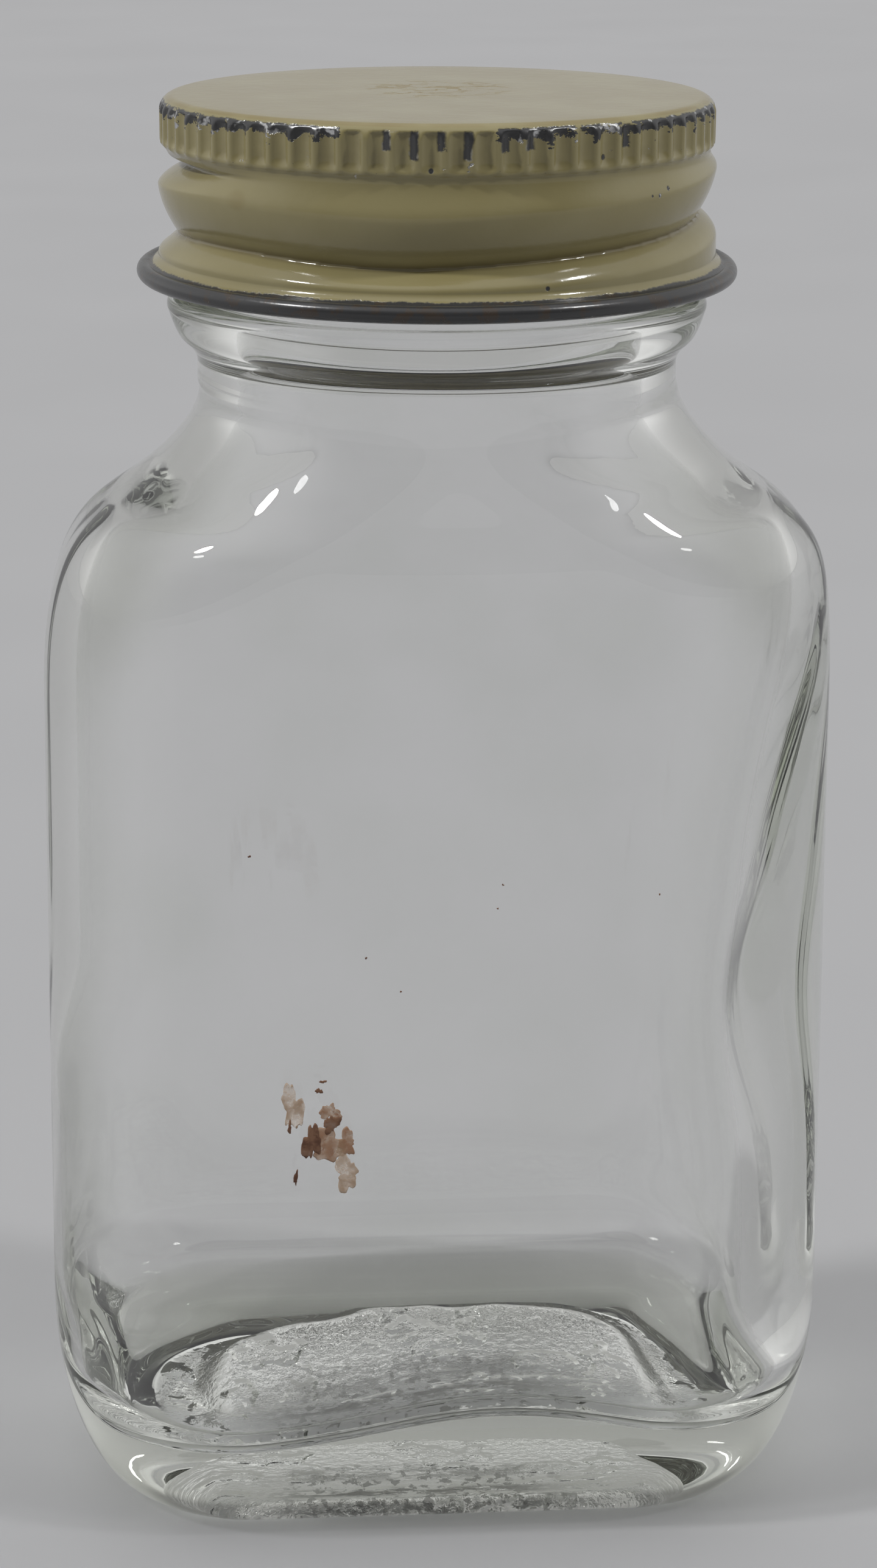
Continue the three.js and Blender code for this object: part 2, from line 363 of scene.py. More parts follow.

# %% [markdown]
# ## Clear glass
#
# Old bottle glass is clear on the panels and a faint grey-green where light has to pass through much of
# it, in the heel and along the walls. That is absorption, so it belongs in the volume and not in the
# surface colour. The surface is fire-polished and nearly mirror smooth, under a film of dust. The mould
# left a stipple under the base. The heel is tinted darker low down, the front of the foot is darkened with
# painted shade for the contact shadow under it, and the side walls with painted shade for the darker
# surroundings that they refract. Each of these is a mask, made from the place on the bottle and noise.

# %% Masks on the glass
glass_finish, tree, place = new_finish("clear_bottle_glass")
x, y, z = place.parts()
film = cloud(place, 0.09, 4).rise(0.42, 0.72)
panel_x = abs(x) / 18.5
panel_y = abs(y) / 9.6
under_base = (1 - z.rise(2.5, 3.0)) * (1 - (panel_x ** 4 + panel_y ** 4).rise(0.8, 1.0))
patches = cloud(place, 0.3, 2, 0.5).rise(0.54, 0.64)
coarse_grain = cloud(place, 1.1, 3, 0.6) + 0.4
fine_grain = cloud(place, 1.8, 3, 0.6) * 0.28
stipple = (patches * coarse_grain + fine_grain) * under_base
# The glass is tinted darker grey-green low in the heel
darker_heel = (1 - z.rise(1.5, 7.0)) * (1 - under_base)
# Painted shade: the front of the foot is darkened for the contact shadow where it meets the table
foot_shade = (1 - z.rise(2.0, 3.0)) * (1 - y.rise(-11, -9.4)) * (1 - under_base)
# Painted shade: the side walls are darkened for the darker surroundings that they refract
side_of_body = 25.0
side_of_neck = 14.8
half_across = side_of_body - z.rise(50, 72) * (side_of_body - side_of_neck)
shaded_side = (abs(x) / half_across).rise(0.8, 1.0) * z.rise(5, 14) * (film * 0.3 + 0.7)
print("masks on the glass:", len(tree.nodes), "nodes so far")

# %% Clear glass and its tints
clean = (1.0, 1.0, 1.0, 1)
dusty = (0.965, 0.97, 0.96, 1)
# Painted shade on the side walls
side_shade_tint = (0.85, 0.855, 0.83, 1)
# A darker grey-green low in the heel
heel_tint = (0.74, 0.75, 0.69, 1)
# Painted shade for the contact shadow under the front of the foot
foot_shade_tint = (0.24, 0.24, 0.225, 1)
tint = blend(film, clean, dusty)
tint = blend(shaded_side, tint, side_shade_tint)
tint = blend(darker_heel, tint, heel_tint)
tint = blend(foot_shade, tint, foot_shade_tint)
clear_glass = Wire.node(tree, "ShaderNodeBsdfPrincipled", {}, {
    "Base Color": tint,
    "Roughness": film * 0.012 + under_base * 0.02,
    "IOR": 1.51,
    "Transmission Weight": 1.0,
    "Normal": bump(stipple, 0.45),
})
grey_green = {"Color": (0.81, 0.825, 0.785, 1), "Density": 32.0}
volume = Wire.node(tree, "ShaderNodeVolumeAbsorption", {}, grey_green)
print("clear glass:", len(tree.nodes), "nodes so far")

# %% [markdown]
# ## Painted shade under the base, and light through the glass
#
# Under the base, dark blotches in two rows are painted shade: they stand in for the shaded table, seen
# where the stipple breaks the mirror of the glass, and the front of the heel mirrors them. The shade isn't
# glass, so it is a second shader, mixed in by a mask. A third one is clear air: a renderer that follows
# light back from the eye finds few ways through thick glass to a small lamp, and the shadow turns out too
# dark. So a share of the light on its way to a lamp passes unbent, and more of it low down, where the
# heel gathers light.

# %% Painted shade and lamp light
# Painted shade: dark blotches and specks in two rows under the base stand in for the shaded table seen
# through the stipple
shade_blotches = cloud(joined(x * 0.4, y * 0.6, z), 1.1, 4, 0.65).rise(0.42, 0.54)
middle_row = y.hump(0.5, 1.6, 1.2) * 0.6
front_row = y.hump(-5.0, 1.4, 0.9)
specks = cloud(joined(x, y * 0.4, z), 1.5, 3, 0.6).rise(0.54, 0.6) * (1 - y.rise(1, 4))
shade_and_grime = (shade_blotches * middle_row.highest(front_row)).highest(specks * 0.8)
shade_and_grime = shade_and_grime * x.hump(-1.7, 8.5, 3.5) * under_base
# A dark, rough shader that paints this shade
painted_shade_bsdf = Wire.node(tree, "ShaderNodeBsdfPrincipled", {}, {
    "Base Color": blend(film, (0.08, 0.08, 0.072, 1), (0.12, 0.118, 0.105, 1)),
    "Roughness": 0.8,
})
shade_cover = shade_and_grime * 0.8
surface = Wire.node(tree, "ShaderNodeMixShader", {}, {0: shade_cover, 1: clear_glass, 2: painted_shade_bsdf})
lamp_light = Wire.node(tree, "ShaderNodeBsdfTransparent", {}, {"Color": (0.95, 0.955, 0.95, 1)})
from_lamp = Wire.node(tree, "ShaderNodeLightPath", output="Is Shadow Ray")
let_through = from_lamp * (0.85 - z.rise(7, 15) * 0.27)
surface = Wire.node(tree, "ShaderNodeMixShader", {}, {0: let_through, 1: surface, 2: lamp_light})
close_finish(surface, volume)
print("glass finish:", len(tree.nodes), "nodes")

# %% [markdown]
# ## Outline of the body
#
# Seen from above, the body is a rounded rectangle, and the neck is a circle. A circle is a rounded
# rectangle whose corners take up the whole side, so one formula covers both, and the shoulder slides from
# one to the other. The inside is drawn in by the wall. Every ring has the same columns, so that the skin
# can join any ring to the next.

# %% One ring of the body
columns = 240
angles = np.arange(columns) / columns * 2 * np.pi
body_depth = 30.6
body_corner = 13.1
side_taper = 0.9
heel_height = 13.3
shoulder_start = 52.6
shoulder_rise = 19.1
side_wall = 2.0


def outline_radius(half_width, half_depth, corner):
    """Distance from the axis to a rounded rectangle, at every column"""
    across, along = abs(np.sin(angles)), abs(np.cos(angles))
    corner = min(corner, half_width, half_depth)
    corner_x, corner_y = half_width - corner, half_depth - corner
    reach = across * corner_x + along * corner_y
    bend = reach + np.sqrt(np.maximum(reach ** 2 - corner_x ** 2 - corner_y ** 2 + corner ** 2, 0))
    flat_side = half_width / np.maximum(across, 1e-9)
    flat_front = half_depth / np.maximum(along, 1e-9)
    on_side = half_width * along < corner_y * across
    on_front = half_depth * across < corner_x * along
    return np.where(on_side, flat_side, np.where(on_front, flat_front, bend))


def softened(radius, spread):
    """The outline with its changes of bend spread over some degrees"""
    waves = np.fft.rfft(radius)
    order = np.arange(len(waves)) * math.radians(spread)
    return np.fft.irfft(waves * np.exp(-order ** 2 / 2), len(radius))


def body_ring(height, inset, share=1.0, lift=0.0):
    """The body's outline at a height, drawn in by an inset"""
    rise = np.clip((height - heel_height) / (shoulder_start - heel_height), 0, 1)
    half_width = body_half_width - side_taper * rise / 2 - inset
    radius = outline_radius(half_width, body_depth / 2 - inset, max(body_corner - inset, 1.0))
    return round_points(angles, share * radius, height + lift)


print("outline of the body:", round(2 * body_half_width, 2), "by", body_depth, "mm")

# %% [markdown]
# ## How the glass settled
#
# Blown glass is never even. It settles thick low on one side and thin on the other, the floor swells, and
# the shoulder leans a little. These are soft changes of a few millimetres, so each is a small function
# that moves the points of a ring. Under the base the mould pressed a shallow recess, and a ring round it
# carries the bottle.

# %% Uneven glass
shoulder_lean = 0.45
lean_middle, lean_reach = 66, 5.5
thicker_right = 1.9
thinner_left = 1.1
fold_depth = 0.9
fold_middle, fold_reach = 34, 8
floor_thickness = 5.7
floor_behind = 3.3
floor_swell = 2.3
swell_middle, swell_reach = 3.5, 11
push_up = 2.2
recess_half_width = 16.2
recess_half_depth = 9.2
recess_squareness = 5


def smooth_step(value, start, end):
    share = np.clip((value - start) / (end - start), 0, 1)
    return share * share * (3 - 2 * share)


def lean(ring):
    """The shoulder leans a little to the right, as the glass did in its mould"""
    ring[:, 0] += shoulder_lean * np.exp(-((ring[:, 2] - lean_middle) / lean_reach) ** 2)
    return ring


def settle(ring):
    """The inner wall: thicker low on the right, thinner low on the left"""
    height = ring[:, 2]
    fold = fold_depth * np.exp(-((height - fold_middle) / fold_reach) ** 2)
    thicker = thicker_right * (1 - smooth_step(height, 43, 63)) + fold
    thinner = thinner_left * (1 - smooth_step(height, 27, 38))
    above_floor = smooth_step(height, 5, 15)
    share = np.clip(ring[:, 0] / body_half_width, -1, 1)
    ring[:, 0] -= above_floor * np.where(share > 0, thicker, thinner) * abs(share) ** 1.2
    return ring


def dome(ring):
    """The floor inside: level behind, with one swell just right of the middle in front"""
    behind = smooth_step(ring[:, 1], -7, 3)
    swell = floor_swell * np.exp(-((ring[:, 0] - swell_middle) / swell_reach) ** 2)
    raised = swell + (floor_behind - swell) * behind
    fade = 1 - smooth_step(ring[:, 2], floor_thickness + 2, floor_thickness + 14)
    ring[:, 2] += raised * fade
    return ring


def recess(ring):
    """A shallow panel under the base, with a wavy edge, that keeps the middle off the table"""
    across = abs(ring[:, 0] / recess_half_width) ** recess_squareness
    along = abs(ring[:, 1] / recess_half_depth) ** recess_squareness
    reach = (across + along) ** (1 / recess_squareness)
    uneven = 0.016 * np.sin(3 * angles + 1) + 0.012 * np.sin(7 * angles)
    uneven = uneven + 0.01 * np.sin(13 * angles + 2)
    ring[:, 2] += push_up * (1 - smooth_step(reach * (1 + uneven), 0.82, 1.0))
    return ring


print("floor", floor_thickness, "mm above the table, with a recess of", push_up, "mm under it")

# %% [markdown]
# ## Heel and shoulder
#
# The heel is a quarter of an ellipse between base and wall. The shoulder follows one smooth curve from
# the wall up to the neck, while its plan closes from the rounded rectangle to the circle. Its corners
# stay fuller for a while, as in the real mould, and its outline is softened, because a sudden change of
# bend shows as an edge in a reflection.

# %% Rings of the heel and the shoulder
full_corner = 7.0
pull_above_wall = 16.3
pull_beside_neck, pull_below_neck = 5.7, 9.5
fillet_rows = 9
fillet_top = 0.9


def heel_rings(floor, height, inset, reach, steps):
    """The curve from the base into the walls"""
    rings = []
    for turn in np.linspace(0, np.pi / 2, steps + 1):
        drawn_in = inset + reach * (1 - np.sin(turn))
        rings.append(body_ring(floor, drawn_in, lift=height * (1 - np.cos(turn))))
    return rings


def shoulder_rings(inset, radius, rise, steps, soft):
    """The curve from the walls into the neck, softened by some degrees towards the neck"""
    start = body_half_width - side_taper / 2 - inset
    start_depth = body_depth / 2 - inset
    start_corner = body_corner - inset
    top = shoulder_start + rise
    pulls = [(start, shoulder_start + pull_above_wall)]
    pulls += [(radius + pull_beside_neck, top - pull_below_neck)]
    curve = bezier([(start, shoulder_start), *pulls, (radius, top)], steps)
    fillet = [curve[-fillet_rows], (radius + 0.15, top - 1.1), (radius, top + fillet_top)]
    curve = np.concatenate([curve[:-fillet_rows], bezier(fillet, 12)])
    rings = []
    for half_width, height in curve:
        closed = (start - half_width) / (start - radius)
        half_depth = start_depth + (radius - start_depth) * closed
        corner = start_corner + (radius - start_corner) * closed - full_corner * closed * (1 - closed)
        outline = softened(outline_radius(half_width, half_depth, corner), soft * closed)
        rings.append(round_points(angles, outline, height))
    return rings


print("shoulder from", shoulder_start, "to", shoulder_start + shoulder_rise, "mm")

# %% [markdown]
# ## The finish of the neck
#
# Glassmakers call the threaded mouth of a bottle its finish. Below the thread stands the transfer bead, a
# thick ring by which the bottle is carried from one mould to the next. It leaves the neck in a steep
# curve, turns at a soft corner and swells to its rim. The profile is turned, so points of radius and
# height are enough, and every point becomes a ring.

# %% Rings of the neck, the bead and the lip
bore_radius = 12.3
neck_radius = 14.75
root_radius = 15.1
bead_radius = 16.55
bead_corner = (15.65, 75.6)
bead_bottom = 74.2
bead_middle = 77.6
bead_top = 78.4
lip_outer = 1.0
lip_inner = 0.8
neck_base = shoulder_start + shoulder_rise
bead_round = bead_top - bead_middle

neck_heights = np.linspace(neck_base + fillet_top, bead_bottom, 6)
neck_profile = [(neck_radius, height) for height in neck_heights[1:-1]]
under_bead = [(neck_radius, bead_bottom), (neck_radius + 0.05, bead_bottom + 0.7), bead_corner]
neck_profile += [tuple(point) for point in bezier(under_bead, 9)]
bead_side = [bead_corner, (bead_corner[0] + 0.45, bead_corner[1] + 0.35), (bead_radius, bead_middle)]
neck_profile += [tuple(point) for point in bezier(bead_side, 10)][1:]
neck_profile += arc((bead_radius - bead_round, bead_middle), (bead_round, bead_round), 0, 90, 9)[1:]
neck_profile += [(root_radius, bead_top + 0.08)]
wall_heights = np.linspace(bead_top + 0.3, lip_height - lip_outer, 40)
neck_profile += [(root_radius, height) for height in wall_heights]
outer_middle = (root_radius - lip_outer, lip_height - lip_outer)
neck_profile += arc(outer_middle, (lip_outer, lip_outer), 0, 90, 8)[1:]
inner_middle = (bore_radius + lip_inner, lip_height - lip_inner)
neck_profile += arc(inner_middle, (lip_inner, lip_inner), 90, 180, 7)
neck_rings = [round_points(angles, radius, height) for radius, height in neck_profile]
print("neck:", len(neck_rings), "rings")

# %% [markdown]
# ## The glass body
#
# Now the rings are put in order: out from the middle of the recessed base, round the heel, up the panel,
# over the shoulder and the lip, and back down inside to the middle of the floor. The floor is the
# thickest glass of the bottle.

# %% Stack the rings
heel_inset = 5.3
inner_heel_inset = 3.2
inner_heel_height = 4.0
shoulder_wall = 1.0
outer_softness = 6
inner_softness = 11

outside = []
for share in np.linspace(0.03, 1, 34)[:-1]:
    outside.append(recess(body_ring(0, heel_inset, share)))
outside += heel_rings(0, heel_height, 0, heel_inset, 26)
outside += [body_ring(height, 0) for height in np.linspace(heel_height, shoulder_start, 46)[1:-1]]
outer_shoulder = shoulder_rings(0, neck_radius, shoulder_rise, 46, outer_softness)
outside += [lean(ring) for ring in outer_shoulder]
inner_rise = shoulder_rise - shoulder_wall
inner_shoulder = shoulder_rings(side_wall, bore_radius, inner_rise, 40, inner_softness)
inside = [lean(ring) for ring in inner_shoulder[::-1]]
inner_floor = floor_thickness + inner_heel_height
inner_heights = np.linspace(shoulder_start, inner_floor, 48)[1:-1]
inside += [body_ring(height, side_wall) for height in inner_heights]
inside += heel_rings(floor_thickness, inner_heel_height, side_wall, inner_heel_inset, 22)[::-1]
for share in np.linspace(1, 0.08, 14)[1:]:
    inside.append(body_ring(floor_thickness, side_wall + inner_heel_inset, share))
inside = [dome(settle(ring)) for ring in inside]
glass_body = skin("glass_body", outside + neck_rings + inside)
print("glass body:", triangles(glass_body), "triangles")

# %% [markdown]
# ## The thread
#
# The thread is one turn of a right-hand screw that swells out of the finish and fades at both ends. As a
# rule: every point on the wall finds the height of the helix at its own angle, and the nearer it is, the
# further it moves out.

# %% Raise the thread by a rule
inch = 25.4
threads_per_inch = 6
pitch = inch / threads_per_inch
groove_at_left = 2.75
thread_above_groove = 1.4
thread_sizes = {
    "Pitch": pitch,
    "Depth": 1.05,
    "Width": 2.4,
    "Middle at left": cap_bottom + groove_at_left + thread_above_groove,
    "First": -185.5,
    "Last": 174.5,
    "Fade": 30.0,
}
tree, shape, size = new_rule("raised_thread", thread_sizes)
x, y, z = Wire.node(tree, "GeometryNodeInputPosition").scaled(1 / MM).parts()
turn = turn_from_front(x, y)
radius = (x * x + y * y).math("SQRT")
on_wall = radius.rise(root_radius - 0.3, root_radius - 0.1) * (z > bead_top + 0.1) * (z < lip_height)
lift = 0.0
for passage in (0, -360):
    turned = turn + passage
    across = (z - size["Middle at left"] - size["Pitch"] * (turned + 90) / 360) / (size["Width"] / 2)
    crest = (1 - across * across).highest(0)
    ends = turned.rise(size["First"], size["First"] + size["Fade"])
    ends = ends * (1 - turned.rise(size["Last"] - size["Fade"], size["Last"]))
    lift = (crest * ends).highest(lift)
lift = lift * size["Depth"] * on_wall
shape = moved(shape, joined(lift * x / radius, lift * y / radius, 0.0))
end_rule(shape, glass_finish)
shape_blank(glass_body, tree, thread_sizes)

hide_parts("glass_bottle")
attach(glass_body, "bottle")

# %% [markdown]
# ## Worn cream enamel
#
# The cap is stamped from tinplate that was enamelled first, so the paint breaks where the metal was bent
# hardest and where hands and shelves rubbed it: in a ragged line round the top edge, on the tops of a few
# ribs and all along the rolled edge. There the steel shows dark. The flute valleys are darkened with dirt
# and painted shade, and the crease of the groove with painted shade. Each of these is a mask, made from
# the height, the angle round the cap and noise, and the masks choose between paint and metal.

# %% Patterns on the cap
cap_finish, tree, place = new_finish("worn_cream_enamel")
x, y, z = place.parts()
height = z - cap_bottom
turn = turn_from_front(x, y)
radius = (x * x + y * y).math("SQRT")
valley = attribute(tree, "valley")
crease = attribute(tree, "crease")
coarse = cloud(place, 0.22, 3)
medium = cloud(place, 0.9, 3, 0.6)
fine = cloud(place, 3.2, 3, 0.6)
smear = cloud(joined(turn * 0.12, height * 0.5, radius * 0.3), 1.0, 3)
print("patterns on the cap:", len(tree.nodes), "nodes so far")

# %% Mask of the worn rim
grain = cloud(joined(turn * 0.2, height * 1.1, 0.0), 1.0, 4, 0.7)
rib = 1 - valley
worn_sectors = [(-36, 13, 0.58), (16, 9, 0.53), (33, 9, 0.48), (59, 19, 0.6)]
strength = turn.hump(-66, 20, 4) * 0.46
for sector_turn, sector_half, sector_strength in worn_sectors:
    strength = strength.highest(turn.hump(sector_turn, sector_half, 2) * sector_strength)
strength = strength.highest((abs(turn) > 84) * coarse * 0.95)
ragged = rib * grain.rise(0.4, 0.7) * 0.75
lower_edge = 10.45 - ragged - grain * 0.25 - (fine - 0.4) * 0.9
below_top = 1 - (height + grain * 0.5).rise(10.98, 11.06)
on_rim = height.rise(lower_edge - 0.05, lower_edge + 0.05) * below_top
worn_rim = on_rim * (grain + strength - 0.88).rise(0.0, 0.03)
print("worn rim:", len(tree.nodes), "nodes so far")

# %% Masks of drips, scuffs and specks
drip_top = 10.8
drip_places = [(-13.9, 9.7), (-8.6, 9.2), (-3.4, 9.7), (1.8, 9.2), (9.0, 9.6), (14.2, 9.7), (36.3, 9.5)]
drips = 0.0
for drip_turn, drip_end in drip_places:
    wander = turn + (medium - 0.5) * 1.6
    along = height + fine * 0.3
    drip = wander.hump(drip_turn, 0.85, 0.3)
    drip = drip * along.hump((drip_end + drip_top) / 2, (drip_top - drip_end) / 2, 0.08)
    drips = (drip * (fine + medium).rise(0.78, 0.86)).highest(drips)

scuffs = (fine * 0.6 + medium * 0.4).rise(0.63, 0.66) * (1 - valley) * height.hump(9.2, 1.2, 0.4)
skirt_radius = 17.0
mm_per_degree = math.radians(skirt_radius)
speck_places = [
    (48.3, 6.71, 0.13),
    (45.3, 6.38, 0.12),
    (43.0, 6.41, 0.08),
    (17.6, 1.72, 0.13),
    (30.5, 8.9, 0.16),
    (-5.4, 8.45, 0.15),
]
specks = 0.0
for speck_turn, speck_height, speck_size in speck_places:
    aside = (turn - speck_turn) * mm_per_degree
    above = height - speck_height
    away = (aside * aside + above * above).math("SQRT")
    specks = (1 - away.rise(speck_size * 0.7, speck_size * 1.3)).highest(specks)
ragged_height = height + (coarse - 0.5) * 0.4 + (fine - 0.5) * 0.2
on_curl = (1 - ragged_height.rise(1.1, 1.2)) * radius.rise(17.15, 17.3)
bare = worn_rim.highest(drips).highest(on_curl).highest(scuffs * 0.9).highest(specks)
print("bare metal masks:", len(tree.nodes), "nodes so far")

# %% Paint, stains, dirt and painted shade
cream = (0.262, 0.229, 0.114, 1)
aged_cream = (0.226, 0.191, 0.08, 1)
# Colour of dirt and painted shade in the flute valleys, and of painted shade in the crease
shade_and_grime = (0.13, 0.105, 0.05, 1)
tan_stain = (0.19, 0.14, 0.05, 1)
on_top = height.rise(cap_height - 0.08, cap_height - 0.02)
# The crease adds some painted shade to the aged tone of the paint
paint = blend(coarse.rise(0.3, 0.75) * 0.45 + crease * 0.2, cream, aged_cream)

stain_x = (x - 0.2) / 5.2
stain_y = (y - 2.2) / 6.0
near_stain = 1 - (stain_x * stain_x + stain_y * stain_y).rise(0.25, 1.0)
outline = 1 - abs(cloud(place, 0.3, 3, 0.6) - 0.5).rise(0.012, 0.035)
stain = on_top * near_stain * outline.highest(medium.rise(0.5, 0.6) * 0.35)
paint = blend(stain * 0.8, paint, tan_stain)

patch_x = (turn + 47.4) * mm_per_degree
patch_z = (height - 6.2) * 1.4
patch = (1 - (patch_x * patch_x + patch_z * patch_z).rise(0.05, 1.0)) * coarse.rise(0.2, 0.6)
paint = blend(patch * 0.4, paint, tan_stain)
edge_line = height.hump(10.95, 0.09, 0.05) * coarse.rise(0.3, 0.6)
paint = blend(edge_line * 0.5, paint, tan_stain)
# Painted shade along the crease under the bulge, and dirt with painted shade in the flute valleys
shade_and_dirt = (crease.rise(0.7, 0.95) * 0.75).highest(valley * smear.rise(0.35, 0.75) * 0.35)
paint = blend(shade_and_dirt, paint, shade_and_grime)
print("paint:", len(tree.nodes), "nodes so far")

# %% Steel, gloss and relief
dark_steel = (0.035, 0.035, 0.036, 1)
bright_tin = (0.5, 0.5, 0.5, 1)
rust = (0.05, 0.034, 0.022, 1)
glint = medium.rise(0.56, 0.64) * (1 - on_curl) * (1 - drips)
steel = blend(glint, dark_steel, bright_tin)
steel = blend(medium.rise(0.52, 0.64) * on_curl * 0.7, steel, rust)
roughness = 0.1 + medium * 0.07 + stain * 0.2 + bare * fine * 0.2
relief = medium * 0.25 + fine * 0.1 - bare * 0.6
surface = Wire.node(tree, "ShaderNodeBsdfPrincipled", {}, {
    "Base Color": blend(bare, paint, steel),
    "Metallic": bare * glint,
    "Roughness": roughness,
    "Normal": bump(relief, 0.05),
})
close_finish(surface)
print("cap finish:", len(tree.nodes), "nodes")

# %% [markdown]
# ## The cap blank
#
# Before it is fluted and threaded, the cap is a plain cup of sheet metal with its edge rolled outwards.
# The profile starts under the roof, goes down the inside, round the curl and up the outside, so the sheet
# keeps its thickness. Every flute gets eight columns, closer together at its rib, so that the rib stays
# narrow and crisp.

# %% Rings of the cap blank
sheet = 0.25
rim_round = 0.9
band_radius = 16.8
band_bottom = cap_height - 3.05
curl_radius = 0.52
curl_middle = skirt_radius + 0.3 + curl_radius
skirt_bottom = 2 * curl_radius + 0.45
skirt_top = band_bottom - 0.35
rim_middle = band_radius - rim_round
flute_count = 69

inner_profile = [(radius, cap_height - sheet) for radius in np.linspace(1.5, rim_middle, 6)]
rim_start = cap_height - rim_round
inner_round = rim_round - sheet
inner_profile += arc((rim_middle, rim_start), (inner_round, inner_round), 90, 0, 5)[1:]
inner_profile += [(band_radius - sheet, at) for at in np.linspace(rim_start, band_bottom, 10)[1:]]
inner_profile += [(skirt_radius - sheet, at) for at in np.linspace(skirt_top, skirt_bottom, 22)]
outer_profile = arc((curl_middle, curl_radius), (curl_radius, curl_radius), -169, 126, 24)
outer_profile += [(skirt_radius, at) for at in np.linspace(skirt_bottom, skirt_top, 70)]
outer_profile += [(band_radius, at) for at in np.linspace(band_bottom, rim_start, 16)]
outer_profile += arc((rim_middle, rim_start), (rim_round, rim_round), 0, 90, 11)[1:]
outer_profile += [(radius, cap_height) for radius in np.linspace(rim_middle, 0.6, 12)[1:]]

step_in_flute = np.array([-0.5, -0.41, -0.33, -0.2, 0.0, 0.2, 0.33, 0.41])
cap_angles = ((np.arange(flute_count)[:, None] + step_in_flute) / flute_count * 2 * np.pi).ravel()
cap_profile = inner_profile + outer_profile
cap_rings = [round_points(cap_angles, radius, cap_bottom + at) for radius, at in cap_profile]
under = [sheet] * len(inner_profile) + [0.0] * len(outer_profile)
cap_skin = skin("tin_cap", cap_rings, {"under": under})
print("cap blank:", triangles(cap_skin), "triangles")

# %% [markdown]
# ## Flutes and groove
#
# Two tools pressed the cap. One left sixty-nine shallow scoops side by side with narrow ribs between
# them. The other rolled in the thread, a groove that is steep below and eases into the bulge above, and
# that dips at the front where it leads in. Between the bulge and the fluted band the sheet is drawn in to
# a narrow neck. The rule presses all three into the sheet, and remembers where flutes and groove are, for
# the dirt and the painted shade in the finish.

# %% Sizes of the press
press_sizes = {
    "Flutes": flute_count,
    "Flute depth": 0.3,
    "Rib": 0.3,
    "Band radius": band_radius,
    "Band bottom": band_bottom,
    "Band top": cap_height - 0.42,
    "Pitch": pitch,
    "Groove at left": groove_at_left,
    "Groove depth": 1.3,
    "Lower reach": 1.4,
    "Upper reach": 3.6,
    "Crest": 2.75,
    "Neck depth": 0.45,
    "Dip": 1.0,
    "First": -135.0,
    "Last": 325.0,
    "Fade": 45.0,
}
tree, shape, size = new_rule("pressed_flutes_and_groove", press_sizes)
x, y, z = Wire.node(tree, "GeometryNodeInputPosition").scaled(1 / MM).parts()
height = z - cap_bottom
turn = turn_from_front(x, y)
radius = (x * x + y * y).math("SQRT")
below_outer = Wire.node(tree, "GeometryNodeInputNamedAttribute", {"data_type": "FLOAT"}, {"Name": "under"})
print("the press has", len(press_sizes), "sizes")

# %% Scoop the flutes
spacing = size["Band radius"] * (2 * math.pi) / size["Flutes"]
half_valley = (spacing - size["Rib"]) / 2
scoop = (half_valley * half_valley + size["Flute depth"] * size["Flute depth"]) / (size["Flute depth"] * 2)
step = turn * size["Flutes"] / 360
aside = (step - step.math("ROUND")) * spacing
hollow = (scoop * scoop - aside * aside).highest(0).math("SQRT") - scoop + size["Flute depth"]
above_bottom = height.rise(size["Band bottom"], size["Band bottom"] + 0.8)
below_top = 1 - height.rise(size["Band top"] - 0.1, size["Band top"] + 0.1)
in_band = above_bottom * below_top
hollow = hollow.highest(0) * in_band
limit = size["Band radius"] - below_outer - hollow
no_limit = 99.0
fluted = radius.lowest(limit + (1 - in_band.math("CEIL")) * no_limit)
print(flute_count, "flutes:", len(tree.nodes), "nodes so far")

# %% Roll the groove and draw in the neck
dip_start, dip_turn, dip_end = -65, -5, 230
crease_softness = 0.006
edge_of_roof = 15
press = 0.0
for passage in (0, 360):
    turned = turn + passage
    dip = size["Dip"] * turned.rise(dip_start, dip_turn) * (1 - turned.rise(dip_turn, dip_end))
    groove = size["Groove at left"] + size["Pitch"] * (turned + 90) / 360 - dip
    above = height - groove
    crest = groove + size["Crest"] if passage == 0 else crest
    reach = size["Lower reach"] + (above > 0) * (size["Upper reach"] - size["Lower reach"])
    flank = (1 - (above * above + crease_softness).math("SQRT") / reach).highest(0) ** 2
    ends = turned.rise(size["First"], size["First"] + size["Fade"])
    ends = ends * (1 - turned.rise(size["Last"] - size["Fade"], size["Last"]))
    press = (flank * ends).highest(press)
on_skirt = height.rise(skirt_bottom, skirt_bottom + 0.7)
on_skirt = on_skirt * (1 - height.rise(skirt_top - 0.4, skirt_top + 0.2))
press = press * on_skirt
neck = skirt_top + 0.1
narrow = height.rise(crest.lowest(neck - 0.6), neck) * (1 - height.rise(neck, neck + 0.6))
narrow = narrow * size["Neck depth"]
on_side = radius > edge_of_roof
inwards = radius - fluted + (press * size["Groove depth"] + narrow) * on_side
shape = remembered(shape, "valley", hollow / size["Flute depth"])
shape = remembered(shape, "crease", press)
shape = moved(shape, joined(0 - inwards * x / radius, 0 - inwards * y / radius, 0.0))
end_rule(shape, cap_finish)
shape_blank(cap_skin, tree, press_sizes)

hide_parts("cap_shell")
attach(cap_skin, "cap")

# %% [markdown]
# ## The liner
#
# Under the roof of the cap lies a disc of pressed pulpboard with a waxed paper facing, which seals
# against the lip. Both are simple discs, but their edges are cut and soft, and the lip has pressed a ring
# into the facing.

